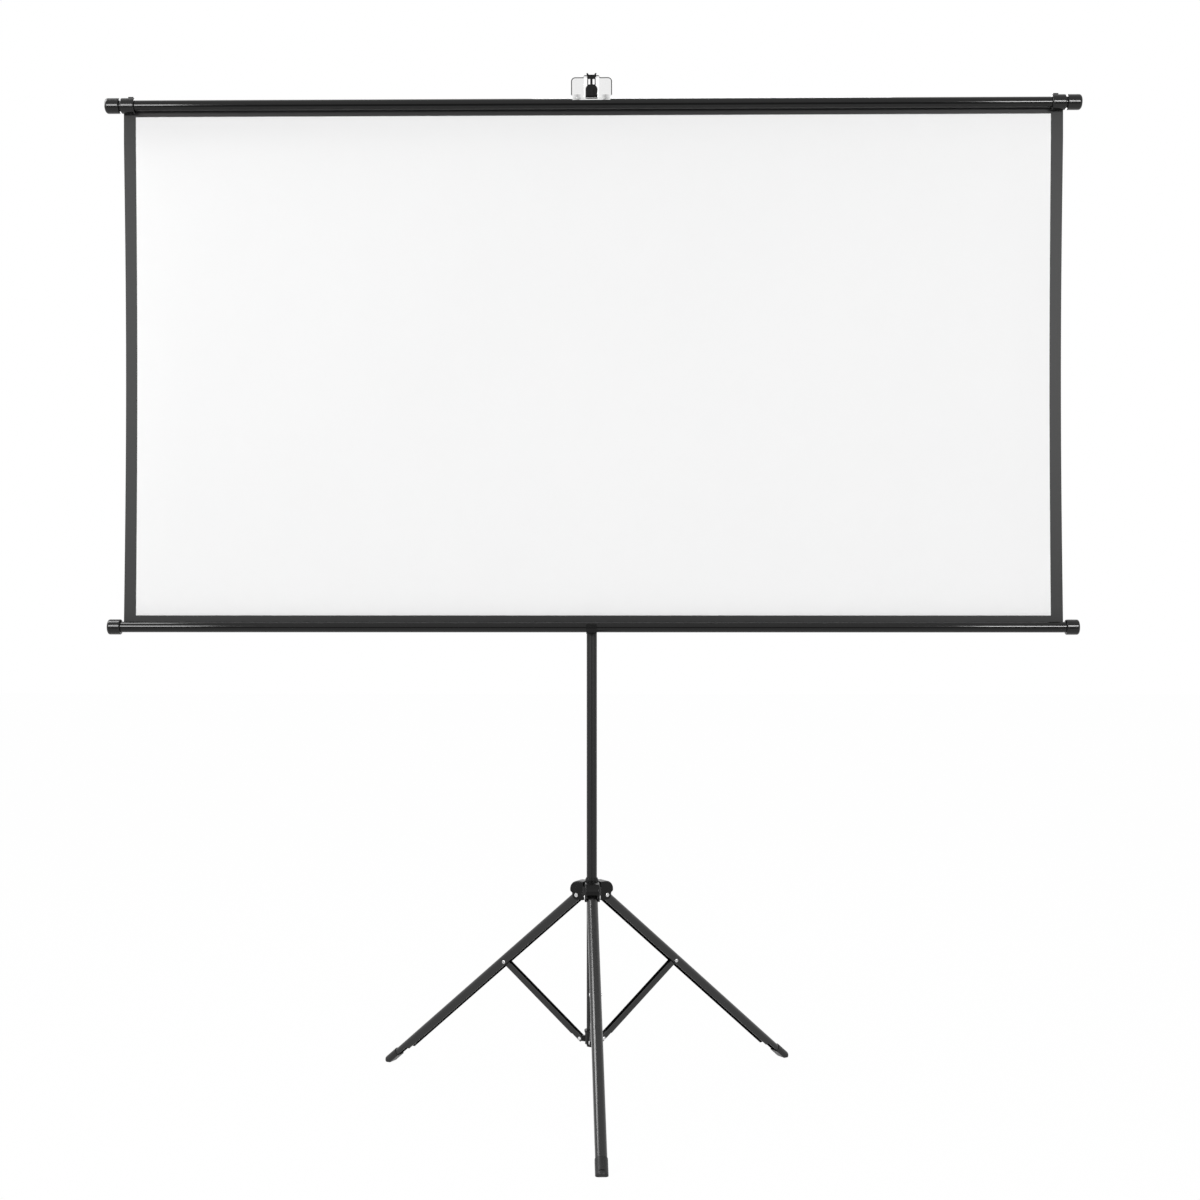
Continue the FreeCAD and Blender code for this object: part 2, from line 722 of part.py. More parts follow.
def make_clamp():
    body = new_body("pole_clamp")
    edge = "clamp_radius - clamp_edge"
    bore = f"{UPPER_RADIUS} + slide_clearance"
    revolve(body, "clamp_turn", outline(sketch_on(body, "clamp_half", "XZ_Plane"), [
        (LOWER_RADIUS, "-clamp_below"),
        (edge, "-clamp_below"),
        ("clamp_radius", "clamp_edge - clamp_below", "clamp_edge", "left"),
        ("clamp_radius", "clamp_above - clamp_edge"),
        (edge, "clamp_above", "clamp_edge", "left"),
        (bore, "clamp_above"),
        (bore, "0"),
        (LOWER_RADIUS, "0"),
    ]))
    boss = rectangle(sketch_on(body, "clamp_boss_outline", "XY_Plane", "(clamp_above - boss_width) / 2"),
                     "-boss_width / 2", "boss_width / 2", f"({LOWER_RADIUS} + clamp_radius) / 2",
                     "boss_reach")
    extrude("Pad", body, "clamp_boss", boss, "boss_width")
    hole = circle(sketch_on(body, "clamp_hole_outline", "XZ_Plane"), "0", "clamp_above / 2",
                  "lock_screw_radius + pin_clearance")
    extrude("Pocket", body, "clamp_hole", hole)
    node("pole_clamp", body, at(0, 0, lower_pole_top_z))


def make_lock(label, target, boss, place):
    """Fluted knob and its screw. The place lies on the pole's axis and points along the screw."""
    start = f"{target} + slide_clearance"
    knob_start = f"{boss} + knob_gap"
    length = f"{knob_start} + knob_length - knob_cover - ({start})"
    node(f"{label}_screw", rod(f"{label}_screw", "lock_screw_radius", length, place * at(0, 0, value(start))))
    head = rod(f"{label}_knob_blank", "knob_radius", "knob_length", place * at(0, 0, value(knob_start)))
    bore = rod(f"{label}_knob_bore", "lock_screw_radius", "knob_length - knob_cover",
               place * at(0, 0, value(knob_start)))
    flutes = []
    ring = value("knob_radius + flute_radius / 2")
    for index in range(SIZES["flute_count"]):
        angle = 2 * math.pi * (index + 0.5) / SIZES["flute_count"]
        spot = at(ring * math.cos(angle), ring * math.sin(angle), value(knob_start))
        flutes.append(rod(f"{label}_flute_{index}", "flute_radius", "knob_length", place * spot))
    node(f"{label}_knob", less(f"{label}_knob_cut", head, bore, *flutes))


# Cradle that carries the bottom bar

def make_cradle():
    body = new_body("bar_cradle")
    inner = f"({BAR_RADIUS} + slide_clearance)"
    outer = f"({inner} + cradle_wall)"
    joint = f"-({LOWER_RADIUS} + cradle_ring_radius) / 2"
    saddle = outline(sketch_on(body, "cradle_outline", "YZ_Plane"), [
        (f"-bar_offset - {outer}", "cradle_lip"),
        (f"-bar_offset - {outer}", "0"),
        ("-bar_offset", f"-{outer}", outer, "left"),
        (joint, "-cradle_root"),
        (joint, "0"),
        (f"{inner} - bar_offset", "0"),
        ("-bar_offset", f"-{inner}", inner, "right"),
        (f"-bar_offset - {inner}", "0", inner, "right"),
        (f"-bar_offset - {inner}", "cradle_lip"),
    ])
    extrude("Pad", body, "cradle_saddle", saddle, "cradle_width", symmetric=True)
    ring = circle(sketch_on(body, "cradle_ring_outline", "XY_Plane", "-cradle_root"), "0", "0",
                  "cradle_ring_radius")
    extrude("Pad", body, "cradle_ring", ring, "cradle_root + cradle_ring_top")
    bore = circle(sketch_on(body, "cradle_bore_outline", "XY_Plane"), "0", "0", LOWER_RADIUS)
    extrude("Pocket", body, "cradle_bore", bore, symmetric=True)
    hole = circle(sketch_on(body, "cradle_hole_outline", "XZ_Plane"), "0", "cradle_screw_height",
                  "screw_radius")
    extrude("Pocket", body, "cradle_hole", hole)
    node("bar_cradle", body, at(0, 0, bottom_bar_z))
    seat = at(0, value("cradle_ring_radius"), bottom_bar_z + value("cradle_screw_height"), BACK)
    node("cradle_screw", screw("cradle_screw", f"cradle_ring_radius - {LOWER_BORE} - guide_clearance", seat))


# Hub with three hoods

def make_hub():
    body = new_body("hub")
    bore = f"({LOWER_RADIUS} + slide_clearance)"
    sleeve = rectangle(sketch_on(body, "hub_sleeve_half", "XZ_Plane"), bore, "hub_sleeve_radius",
                       "-hub_below", "hub_above")
    revolve(body, "hub_sleeve", sleeve)
    web = outline(sketch_on(body, "hub_web_half", "XZ_Plane"), [
        (bore, "-hub_web_below"),
        ("hub_web_radius", "-hub_web_below"),
        ("hub_web_radius", "hub_web_edge"),
        ("hub_sleeve_radius", "hub_web_top"),
        (bore, "hub_web_top"),
    ])
    revolve(body, "hub_web", web)
    inside = f"({bore} + hub_sleeve_radius) / 2"
    hood = outline(sketch_on(body, "hood_outline", "XZ_Plane"), [
        (inside, "-hub_below"),
        ("hub_pivot_radius", "-hub_below"),
        ("hub_pivot_radius + hub_below", "0", "hub_below", "left"),
        ("hood_reach - hood_nose", "hood_arch"),
        ("hood_reach", "hood_arch + hood_nose", "hood_nose", "left"),
        ("hood_reach", "hub_above - hood_curve"),
        ("hood_reach - hood_curve", "hub_above", "hood_curve", "left"),
        (inside, "hub_above"),
    ])
    hood_pad = extrude("Pad", body, "hood", hood, "hood_width", symmetric=True)
    slot = outline(sketch_on(body, "hood_slot_outline", "XZ_Plane"), [
        ("hub_slot_radius", "-2 * hub_below"),
        (f"hood_reach + {OVERCUT}", "-2 * hub_below"),
        (f"hood_reach + {OVERCUT}", "hood_arch"),
        ("hood_reach - hood_lip", "hood_arch"),
        ("hood_reach - hood_lip", "hub_above - hood_curve"),
        ("hood_reach - hood_curve", "hub_above - hood_lip", "hood_curve - hood_lip", "left"),
        ("hub_slot_radius", "hub_above - hood_lip"),
    ])
    slot_cut = extrude("Pocket", body, "hood_slot", slot, "leg_width + 2 * channel_clearance", symmetric=True)
    pivot = circle(sketch_on(body, "hood_pivot_outline", "XZ_Plane"), "hub_pivot_radius", "0",
                   "hub_rivet_radius")
    pivot_cut = extrude("Pocket", body, "hood_pivot", pivot, "2 * hood_width", symmetric=True)
    three_times(body, "hoods", hood_pad, slot_cut, pivot_cut)
    half = value("hood_width / 2")
    arch = value("hood_arch")

    def on_hood_rim(middle, edge):
        """Upper and outer edges of the three hoods' cheeks."""
        for turn in LEGS.values():
            spot = turned(UP, -turn).multVec(middle)
            if abs(abs(spot.y) - half) < 0.01 and spot.x > half and spot.z > arch:
                return True
        return False

    round_edges(body, "hood_rims", "hood_round", on_hood_rim)
    boss = rectangle(sketch_on(body, "hub_boss_outline", "XY_Plane", "hub_lock_height - boss_width / 2"),
                     "-hub_boss_reach", f"-({inside})", "-boss_width / 2", "boss_width / 2")
    extrude("Pad", body, "hub_boss", boss, "boss_width")
    through = circle(sketch_on(body, "hub_bore_outline", "XY_Plane"), "0", "0", bore)
    extrude("Pocket", body, "hub_bore", through, symmetric=True)
    hole = circle(sketch_on(body, "hub_lock_outline", "YZ_Plane"), "0", "hub_lock_height",
                  "lock_screw_radius + pin_clearance")
    extrude("Pocket", body, "hub_lock_hole", hole)
    node("hub", body, tripod_frame * at(0, 0, pivot_z))
    ring = new_body("hub_ring")
    revolve(ring, "hub_ring_turn", outline(sketch_on(ring, "hub_ring_half", "XZ_Plane"), [
        (bore, "0"),
        ("hub_ring_radius", "0"),
        ("hub_ring_radius", "hub_ring_skirt"),
        (f"{bore} + hub_ring_mouth", "hub_ring_height"),
        (bore, "hub_ring_height"),
    ]))
    node("hub_ring", ring, at(0, 0, pivot_z + value("hub_above")))
    rivets = []
    for name, turn in LEGS.items():
        pin = rivet(f"hub_rivet_{name}", "hood_width", "hub_rivet_radius", "hub_rivet_head_radius",
                    "hub_rivet_head")
        pin.Placement = leg_frame(turn) * at(pivot_radius, 0, pivot_z, BACK)
        rivets.append(pin)
    node("hub_rivets", group("hub_rivet_set", *rivets))


# Legs, struts and shoes, each built straight and then set at its open angle

def make_leg(name, turn):
    place = leg_frame(turn) * turned(BACK, -value("leg_open_angle"), FreeCAD.Vector(pivot_radius, 0, pivot_z))
    body = new_body(f"leg_{name}")
    half_depth = "leg_depth / 2"
    half_width = "leg_width / 2"
    length = "(leg_length - leg_end_gap)"
    section = channel_outline(sketch_on(body, f"leg_{name}_section", "XY_Plane"), half_width,
                              f"-{half_depth}", half_depth, "leg_round")
    extrude("Pad", body, f"leg_{name}_blank", section, half_depth, second=length)
    hollow = channel_outline(sketch_on(body, f"leg_{name}_hollow_section", "XY_Plane"),
                             f"{half_width} - leg_wall", f"-{half_depth} - {OVERCUT}",
                             f"{half_depth} - leg_wall", "(leg_round - leg_wall)")
    extrude("Pocket", body, f"leg_{name}_hollow", hollow, symmetric=True)
    head = outline(sketch_on(body, f"leg_{name}_head_outline", "XZ_Plane"), [
        (f"-{half_depth} - {OVERCUT}", "0"),
        (f"-{half_depth}", "0"),
        ("0", half_depth, half_depth, "right"),
        ("0", f"{half_depth} + {OVERCUT}"),
        (f"-{half_depth} - {OVERCUT}", f"{half_depth} + {OVERCUT}"),
    ])
    extrude("Pocket", body, f"leg_{name}_head", head, symmetric=True)
    trim = outline(sketch_on(body, f"leg_{name}_trim_outline", "XZ_Plane"), [
        (f"-{half_depth} - {OVERCUT}", f"-{length} - {OVERCUT}"),
        (f"leg_trim_depth - {half_depth}", f"-{length} - {OVERCUT}"),
        (f"leg_trim_depth - {half_depth}", "-leg_length + leg_trim"),
        (f"-{half_depth} - {OVERCUT}", "-leg_length + leg_trim + leg_trim_slope"),
    ])
    extrude("Pocket", body, f"leg_{name}_trim", trim, symmetric=True)
    pivot = circle(sketch_on(body, f"leg_{name}_pivot_outline", "XZ_Plane"), "0", "0",
                   "hub_rivet_radius + pin_clearance")
    extrude("Pocket", body, f"leg_{name}_pivot", pivot, symmetric=True)
    pin = circle(sketch_on(body, f"leg_{name}_pin_outline", "XZ_Plane"), "-strut_pin_inset",
                 "-strut_pin_distance", "rivet_radius")
    extrude("Pocket", body, f"leg_{name}_pin", pin, symmetric=True)
    node(f"leg_{name}", body, place)
    pin_place = place * at(-value("strut_pin_inset"), 0, -value("strut_pin_distance"), BACK)
    strut_rivet = rivet(f"strut_rivet_{name}", "leg_width", "rivet_radius", "rivet_head_radius", "rivet_head")
    node(f"strut_rivet_{name}", strut_rivet, pin_place)
    room = "((leg_width - strut_width) / 2 - leg_wall - guide_clearance)"
    spacers = []
    for side, start in (("near", value("strut_width / 2 + guide_clearance")),
                        ("far", -value(f"strut_width / 2 + guide_clearance + {room}"))):
        spacers.append(tube(f"spacer_{name}_{side}", "spacer_radius", "rivet_radius", room,
                            pin_place * at(0, 0, start)))
    node(f"strut_spacers_{name}", group(f"strut_spacers_{name}", *spacers))
    make_shoe(name, place * at(0, 0, -value("leg_length")))


def make_shoe(name, place):
    body = new_body(f"shoe_{name}")
    section = channel_outline(sketch_on(body, f"shoe_{name}_section", "XY_Plane"),
                              "(leg_width / 2 + shoe_side_wall)", f"-{SHOE_INNER}", SHOE_OUTER,
                              "(leg_round + shoe_side_wall)")
    extrude("Pad", body, f"shoe_{name}_blank", section, "shoe_length")
    round_edges(body, f"shoe_{name}_toe", "shoe_toe", lambda middle, edge: abs(middle.z) < 0.01)
    socket = channel_outline(sketch_on(body, f"shoe_{name}_socket_section", "XY_Plane", "shoe_length"),
                             "leg_width / 2 + seat_clearance",
                             "leg_trim_depth - leg_depth / 2 - seat_clearance",
                             "leg_depth / 2 + seat_clearance", "(leg_round + seat_clearance)")
    extrude("Pocket", body, f"shoe_{name}_socket", socket, "shoe_length - leg_end_gap")
    slope = "tan(leg_open_angle)"
    sole = outline(sketch_on(body, f"shoe_{name}_sole_outline", "XZ_Plane"), [
        (f"-{SHOE_INNER} - {OVERCUT}", f"sole_cut / cos(leg_open_angle) + {OVERCUT} * {slope}"),
        (f"-{SHOE_INNER} - {OVERCUT}", f"-{OVERCUT}"),
        (f"-{SHOE_INNER} + sole_cut / sin(leg_open_angle) + {OVERCUT} / {slope}", f"-{OVERCUT}"),
    ])
    extrude("Pocket", body, f"shoe_{name}_sole", sole, symmetric=True)
    crease = rectangle(sketch_on(body, f"shoe_{name}_crease_outline", "XZ_Plane"),
                       f"{SHOE_OUTER} - shoe_crease_depth", f"{SHOE_OUTER} + {OVERCUT}", "shoe_crease",
                       "shoe_crease + shoe_crease_width")
    extrude("Pocket", body, f"shoe_{name}_crease", crease, symmetric=True)
    node(f"shoe_{name}", body, place)


def make_strut(name, turn):
    place = leg_frame(turn) * turned(BACK, math.degrees(strut_angle),
                                     FreeCAD.Vector(value("collar_pin_radius"), 0, collar_z))
    body = new_body(f"strut_{name}")
    half = "(strut_depth / 2)"
    beyond = f"({half} + {OVERCUT})"
    section = channel_outline(sketch_on(body, f"strut_{name}_section", "XY_Plane"), "strut_width / 2",
                              f"-{half}", half, "strut_round")
    extrude("Pad", body, f"strut_{name}_blank", section, f"strut_length + {half}", second=half)
    hollow = channel_outline(sketch_on(body, f"strut_{name}_hollow_section", "XY_Plane"),
                             "strut_width / 2 - strut_wall", f"-{beyond}", f"{half} - strut_wall",
                             "(strut_round - strut_wall)")
    extrude("Pocket", body, f"strut_{name}_hollow", hollow, symmetric=True)
    foot = outline(sketch_on(body, f"strut_{name}_foot_outline", "XZ_Plane"), [
        (f"-{beyond}", "0"),
        (f"-{half}", "0"),
        ("0", f"-{half}", half, "left"),
        (half, "0", half, "left"),
        (beyond, "0"),
        (beyond, f"-{beyond}"),
        (f"-{beyond}", f"-{beyond}"),
    ])
    extrude("Pocket", body, f"strut_{name}_foot", foot, symmetric=True)
    head = outline(sketch_on(body, f"strut_{name}_head_outline", "XZ_Plane"), [
        (beyond, "strut_length"),
        (half, "strut_length"),
        ("0", f"strut_length + {half}", half, "left"),
        (f"-{half}", "strut_length", half, "left"),
        (f"-{beyond}", "strut_length"),
        (f"-{beyond}", f"strut_length + {beyond}"),
        (beyond, f"strut_length + {beyond}"),
    ])
    extrude("Pocket", body, f"strut_{name}_head", head, symmetric=True)
    fork = rectangle(sketch_on(body, f"strut_{name}_fork_outline", "XZ_Plane"), f"{half} - strut_round",
                     beyond, f"-{beyond}", "strut_fork")
    extrude("Pocket", body, f"strut_{name}_fork", fork, symmetric=True)
    lower = circle(sketch_on(body, f"strut_{name}_lower_outline", "XZ_Plane"), "0", "0", "rivet_radius")
    extrude("Pocket", body, f"strut_{name}_lower", lower, symmetric=True)
    upper = circle(sketch_on(body, f"strut_{name}_upper_outline", "XZ_Plane"), "0", "strut_length",
                   "rivet_radius + pin_clearance")
    extrude("Pocket", body, f"strut_{name}_upper", upper, symmetric=True)
    node(f"strut_{name}", body, place)
    collar_rivet = rivet(f"collar_rivet_{name}", "strut_width", "rivet_radius", "rivet_head_radius",
                         "rivet_head")
    node(f"collar_rivet_{name}", collar_rivet, place * at(along=BACK))


# Spreader collar at the pole's foot; each lug is open below so that its strut's rivet can drop out of it

def make_collar():
    body = new_body("spreader_collar")
    revolve(body, "collar_turn", outline(sketch_on(body, "collar_half", "XZ_Plane"), [
        (LOWER_RADIUS, "-collar_below"),
        ("collar_radius", "-collar_below"),
        ("collar_radius", "collar_above - 2 * collar_flange"),
        ("collar_flange_radius", "collar_above - collar_flange"),
        ("collar_flange_radius", "collar_above"),
        (LOWER_RADIUS, "collar_above"),
    ]))
    lug = outline(sketch_on(body, "lug_outline", "XZ_Plane"), [
        ("lug_root", "-lug_radius"),
        ("collar_pin_radius", "-lug_radius"),
        ("collar_pin_radius + lug_radius", "0", "lug_radius", "left"),
        ("collar_pin_radius", "lug_radius", "lug_radius", "left"),
        ("lug_root", "lug_radius + strut_round"),
    ])
    thickness = "strut_width - 2 * strut_wall - 2 * channel_clearance"
    lug_pad = extrude("Pad", body, "lug", lug, thickness, symmetric=True)
    half_slot = "(rivet_radius + lug_slot_spare)"
    seat = circle(sketch_on(body, "lug_seat_outline", "XZ_Plane"), "collar_pin_radius", "0", half_slot)
    seat_cut = extrude("Pocket", body, "lug_seat", seat, "2 * strut_width", symmetric=True)
    slot = rectangle(sketch_on(body, "lug_slot_outline", "XZ_Plane"), f"collar_pin_radius - {half_slot}",
                     f"collar_pin_radius + {half_slot}", f"-lug_radius - {OVERCUT}", "0")
    slot_cut = extrude("Pocket", body, "lug_slot", slot, "2 * strut_width", symmetric=True)
    three_times(body, "lugs", lug_pad, seat_cut, slot_cut)
    hole = circle(sketch_on(body, "collar_hole_outline", "YZ_Plane"), "0", "collar_screw_height",
                  "screw_radius")
    extrude("Pocket", body, "collar_hole", hole)
    node("spreader_collar", body, tripod_frame * at(0, 0, collar_z))
    screw_z = collar_z + value("collar_screw_height")
    seat_place = tripod_frame * at(-value("collar_radius"), 0, screw_z, -ACROSS)
    node("collar_screw", screw("collar_screw", f"collar_radius - {LOWER_BORE} - guide_clearance", seat_place))


make_sheet()
make_bars()
make_hanger()
make_hook()
make_poles()
make_clamp()
make_lock("clamp", UPPER_RADIUS, "boss_reach", at(0, 0, clamp_screw_z, BACK))
make_cradle()
make_hub()
make_lock("hub", LOWER_RADIUS, "hub_boss_reach", tripod_frame * at(0, 0, hub_lock_z, -ACROSS))
for leg_name, leg_turn in LEGS.items():
    make_leg(leg_name, leg_turn)
    make_strut(leg_name, leg_turn)
make_collar()
doc.recompute()

# The origin goes under the middle of the whole object's box.
whole = FreeCAD.BoundBox()
for thing in nodes.values():
    whole.add(thing.Shape.optimalBoundingBox(False))
pole_y = -whole.Center.y
for thing in nodes.values():
    thing.Placement = FreeCAD.Placement(FreeCAD.Vector(0, pole_y, 0), FreeCAD.Rotation()) * thing.Placement
doc.recompute()

for item in doc.Objects:
    if "Invalid" in item.State or "Error" in item.State:
        raise RuntimeError(f"{item.Name} failed: {item.State}")
for label, thing in nodes.items():
    if thing.Shape.isNull() or not thing.Shape.isValid():
        raise RuntimeError(f"{label} has no valid shape")

os.makedirs("parts", exist_ok=True)
for label, thing in nodes.items():
    thing.Shape.exportStep(f"parts/{label}.step")
print(f"{len(nodes)} nodes, pole axis at y = {pole_y:.2f} mm")
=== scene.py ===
import json
import math

import bpy
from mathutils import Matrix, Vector


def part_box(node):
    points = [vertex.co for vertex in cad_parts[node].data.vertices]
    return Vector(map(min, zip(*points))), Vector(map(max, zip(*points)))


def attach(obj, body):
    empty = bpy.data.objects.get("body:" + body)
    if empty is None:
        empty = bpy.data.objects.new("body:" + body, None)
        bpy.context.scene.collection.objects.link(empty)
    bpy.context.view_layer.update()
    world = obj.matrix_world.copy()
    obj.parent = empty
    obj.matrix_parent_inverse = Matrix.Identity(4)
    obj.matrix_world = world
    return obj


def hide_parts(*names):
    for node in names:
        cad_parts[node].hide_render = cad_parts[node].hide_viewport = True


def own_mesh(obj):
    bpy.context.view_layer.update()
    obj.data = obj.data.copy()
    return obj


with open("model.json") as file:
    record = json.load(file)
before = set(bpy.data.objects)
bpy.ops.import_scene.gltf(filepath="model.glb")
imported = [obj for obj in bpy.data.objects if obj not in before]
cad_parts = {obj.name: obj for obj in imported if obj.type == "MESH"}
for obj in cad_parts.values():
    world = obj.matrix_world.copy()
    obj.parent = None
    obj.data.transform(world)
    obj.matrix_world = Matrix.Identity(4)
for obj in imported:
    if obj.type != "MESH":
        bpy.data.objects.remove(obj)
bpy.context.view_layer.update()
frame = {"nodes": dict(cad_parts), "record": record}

# Places taken from the frame, in metres
sheet_low, sheet_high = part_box("screen_sheet")
pole_low, pole_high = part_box("lower_pole")
_, plate_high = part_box("hanger_plate")
pole_y = (pole_low[1] + pole_high[1]) / 2
sheet_wide = sheet_high[0] - sheet_low[0]
sheet_tall = sheet_high[2] - sheet_low[2]
sheet_thick = sheet_high[1] - sheet_low[1]

# Hanger plate: rounded shoulders, a step in the top edge, a painted dark line of shade along the edges,
# painted grey shade on two humps below
PLATE_ROUND = 0.010
PLATE_STEP = 0.005
PLATE_STEP_HALF = 0.019
PLATE_RIM = 0.0022
HUMP_MIDDLE = 0.034
HUMP_HALF = 0.0105
HUMP_TOP = 0.0465

# Black border of the sheet, measured from its cut edges
BORDER_SIDE = 0.0295
BORDER_TOP = 0.0235
BORDER_BOTTOM = 0.026

# Weave of the sheet, and the grid that carries its shape
THREAD_PITCH = 0.0011
GRID_ACROSS = 132
GRID_UP = 72
CREASE_ANGLE = math.radians(30)

# How the sheet hangs: flat between the clips, then drawn in and curled back a little at its sides
HELD_TOP = 0.08
WAIST = 0.0036
CURL = 0.006
CURL_REACH = 0.16

# Slow ripples on the hanging sheet: their depth, their turns per metre and how far they lean
RIPPLE = 0.0007
RIPPLE_ACROSS = 5.3
RIPPLE_UP = 2.1
RIPPLE_LEAN = 1.7


# Shader maths

class Shade:
    """A socket with operators; maths on it adds Math nodes."""

    def __init__(self, finish, socket):
        self.finish = finish
        self.socket = socket

    def maths(self, operation, *others):
        values = {index: other for index, other in enumerate((self, *others))}
        return self.finish.node("ShaderNodeMath", {"operation": operation}, values)

    def turned_round(self, operation, first):
        return self.finish.node("ShaderNodeMath", {"operation": operation}, {0: first, 1: self})

    def __add__(self, other):
        return self.maths("ADD", other)

    def __radd__(self, other):
        return self.turned_round("ADD", other)

    def __sub__(self, other):
        return self.maths("SUBTRACT", other)

    def __rsub__(self, other):
        return self.turned_round("SUBTRACT", other)

    def __mul__(self, other):
        return self.maths("MULTIPLY", other)

    def __rmul__(self, other):
        return self.turned_round("MULTIPLY", other)

    def __truediv__(self, other):
        return self.maths("DIVIDE", other)

    def __gt__(self, other):
        return self.maths("GREATER_THAN", other)

    def absolute(self):
        return self.maths("ABSOLUTE")

    def root(self):
        return self.maths("SQRT")

    def sine(self):
        return self.maths("SINE")

    def least(self, other):
        return self.maths("MINIMUM", other)

    def most(self, other):
        return self.maths("MAXIMUM", other)

    def between(self, low, high):
        """Runs from low to high as the value goes from 0 to 1."""
        return low + self * (high - low)


class Nodes:
    """A node tree, with the few helpers that its makers need."""

    def __init__(self, tree):
        self.tree = tree

    def node(self, kind, settings=None, inputs=None, output=0):
        """Any node: its settings first, then the values or links of its sockets."""
        made = self.tree.nodes.new(kind)
        for name, setting in (settings or {}).items():
            setattr(made, name, setting)
        for key, given in (inputs or {}).items():
            self.feed(made.inputs[key], given)
        return Shade(self, made.outputs[output])

    def feed(self, socket, given):
        """Links a value that varies to a socket, or sets one that doesn't."""
        if isinstance(given, Shade):
            self.tree.links.new(given.socket, socket)
        else:
            socket.default_value = given

    def parts_of(self, vector):
        """The X, Y and Z of a vector."""
        return [self.node("ShaderNodeSeparateXYZ", inputs={0: vector}, output=axis) for axis in range(3)]

    def ray(self, kind):
        """1 for rays of one kind, else 0."""
        return self.node("ShaderNodeLightPath", output=f"Is {kind} Ray")


class Finish(Nodes):
    """One node material, built around a Principled shader."""

    def __init__(self, name):
        self.material = bpy.data.materials.new(name)
        self.material.use_nodes = True
        super().__init__(self.material.node_tree)
        self.shader = self.tree.nodes["Principled BSDF"]

    def place(self):
        return self.node("ShaderNodeTexCoord", output="Object")

    def cloth_place(self):
        return self.node("ShaderNodeTexCoord", output="UV")

    def noise(self, vector, scale, detail=3.0, roughness=0.5):
        sockets = {"Vector": vector, "Scale": scale, "Detail": detail, "Roughness": roughness}
        return self.node("ShaderNodeTexNoise", inputs=sockets)

    def streaks(self, vector, scale, detail=3.0):
        """Noise drawn out along the axis with the smallest scale."""
        drawn = self.node("ShaderNodeMapping", {"vector_type": "POINT"}, {"Vector": vector, "Scale": scale})
        return self.noise(drawn, scale=1.0, detail=detail)

    def mixed(self, amount, first, second):
        """Blend of two colours."""
        return self.node("ShaderNodeMix", {"data_type": "RGBA"}, {0: amount, 6: first, 7: second}, output=2)

    def bumped(self, height, depth, strength):
        sockets = {"Height": height, "Distance": depth, "Strength": strength}
        return self.node("ShaderNodeBump", inputs=sockets)

    def set(self, **sockets):
        for name, given in sockets.items():
            self.feed(self.shader.inputs[name.replace("_", " ")], given)
        return self.material


def grey(level):
    return (level, level, level, 1.0)


# Gloss of the finishes, as the shader's specular level
BAR_SHEEN = 0.3
POLE_SHEEN = 0.3
LEG_SHEEN = 0.5
CAP_SHEEN = 0.34
MOULDING_SHEEN = 0.18
SHOE_SHEEN = 0.32
SHEET_SHEEN = 0.22

# Depth in metres of the fine relief of each finish
PEEL_DEPTH = 0.00002
CAP_GRAIN_DEPTH = 0.00001
MOULDING_GRAIN_DEPTH = 0.00002
RUBBER_DEPTH = 0.00004
BRUSHING_DEPTH = 0.000012
TARNISH_DEPTH = 0.00003
FRONT_WEAVE_DEPTH = 0.00003
BACK_WEAVE_DEPTH = 0.00004

# How high above the floor the dust lies on the shoes
DUST_HEIGHT = 0.035


# Finishes of the rigid pieces

def tube_enamel(name, level, rough, sheen):
    """Stoved enamel on drawn tube: a fine orange peel, long draw marks and a little dust."""
    paint = Finish(name)
    place = paint.place()
    peel = paint.noise(place, scale=900.0, detail=2.0)
    cloud = paint.noise(place, scale=14.0, detail=4.0)
    marks = paint.streaks(place, scale=(260.0, 260.0, 3.0))
    dust = cloud * 0.15 + marks * 0.1
    dusty = level * 1.9 + 0.006
    colour = paint.mixed(dust, grey(level), grey(dusty))
    uneven = cloud.between(-0.06, 0.02) + marks * 0.05
    return paint.set(Base_Color=colour, Roughness=uneven + rough, Specular_IOR_Level=sheen,
                     Normal=paint.bumped(peel, PEEL_DEPTH, strength=0.3))


def bar_enamel():
    """Glossier enamel on the two long bars, with the draw marks along X."""
    paint = Finish("bar_enamel")
    place = paint.place()
    peel = paint.noise(place, scale=1100.0, detail=2.0)
    marks = paint.streaks(place, scale=(3.0, 300.0, 300.0))
    black = grey(0.003)
    rubbed = grey(0.010)
    colour = paint.mixed(marks * 0.3, black, rubbed)
    return paint.set(Base_Color=colour, Roughness=marks.between(0.07, 0.11), Specular_IOR_Level=BAR_SHEEN,
                     Normal=paint.bumped(peel, PEEL_DEPTH, strength=0.4))


def moulded_plastic(name, level, rough, sheen, grain, depth):
    """Moulded black plastic: spark-eroded grain, with paler rubbed patches."""
    paint = Finish(name)
    place = paint.place()
    pits = paint.node("ShaderNodeTexVoronoi", {"feature": "F1"}, {"Vector": place, "Scale": grain})
    patches = paint.noise(place, scale=45.0, detail=5.0, roughness=0.6)
    rubbed = level * 1.7 + 0.004
    colour = paint.mixed(patches * 0.35, grey(level), grey(rubbed))
    return paint.set(Base_Color=colour, Roughness=patches.between(rough - 0.05, rough + 0.07),
                     Specular_IOR_Level=sheen, Normal=paint.bumped(pits, depth, strength=0.6))


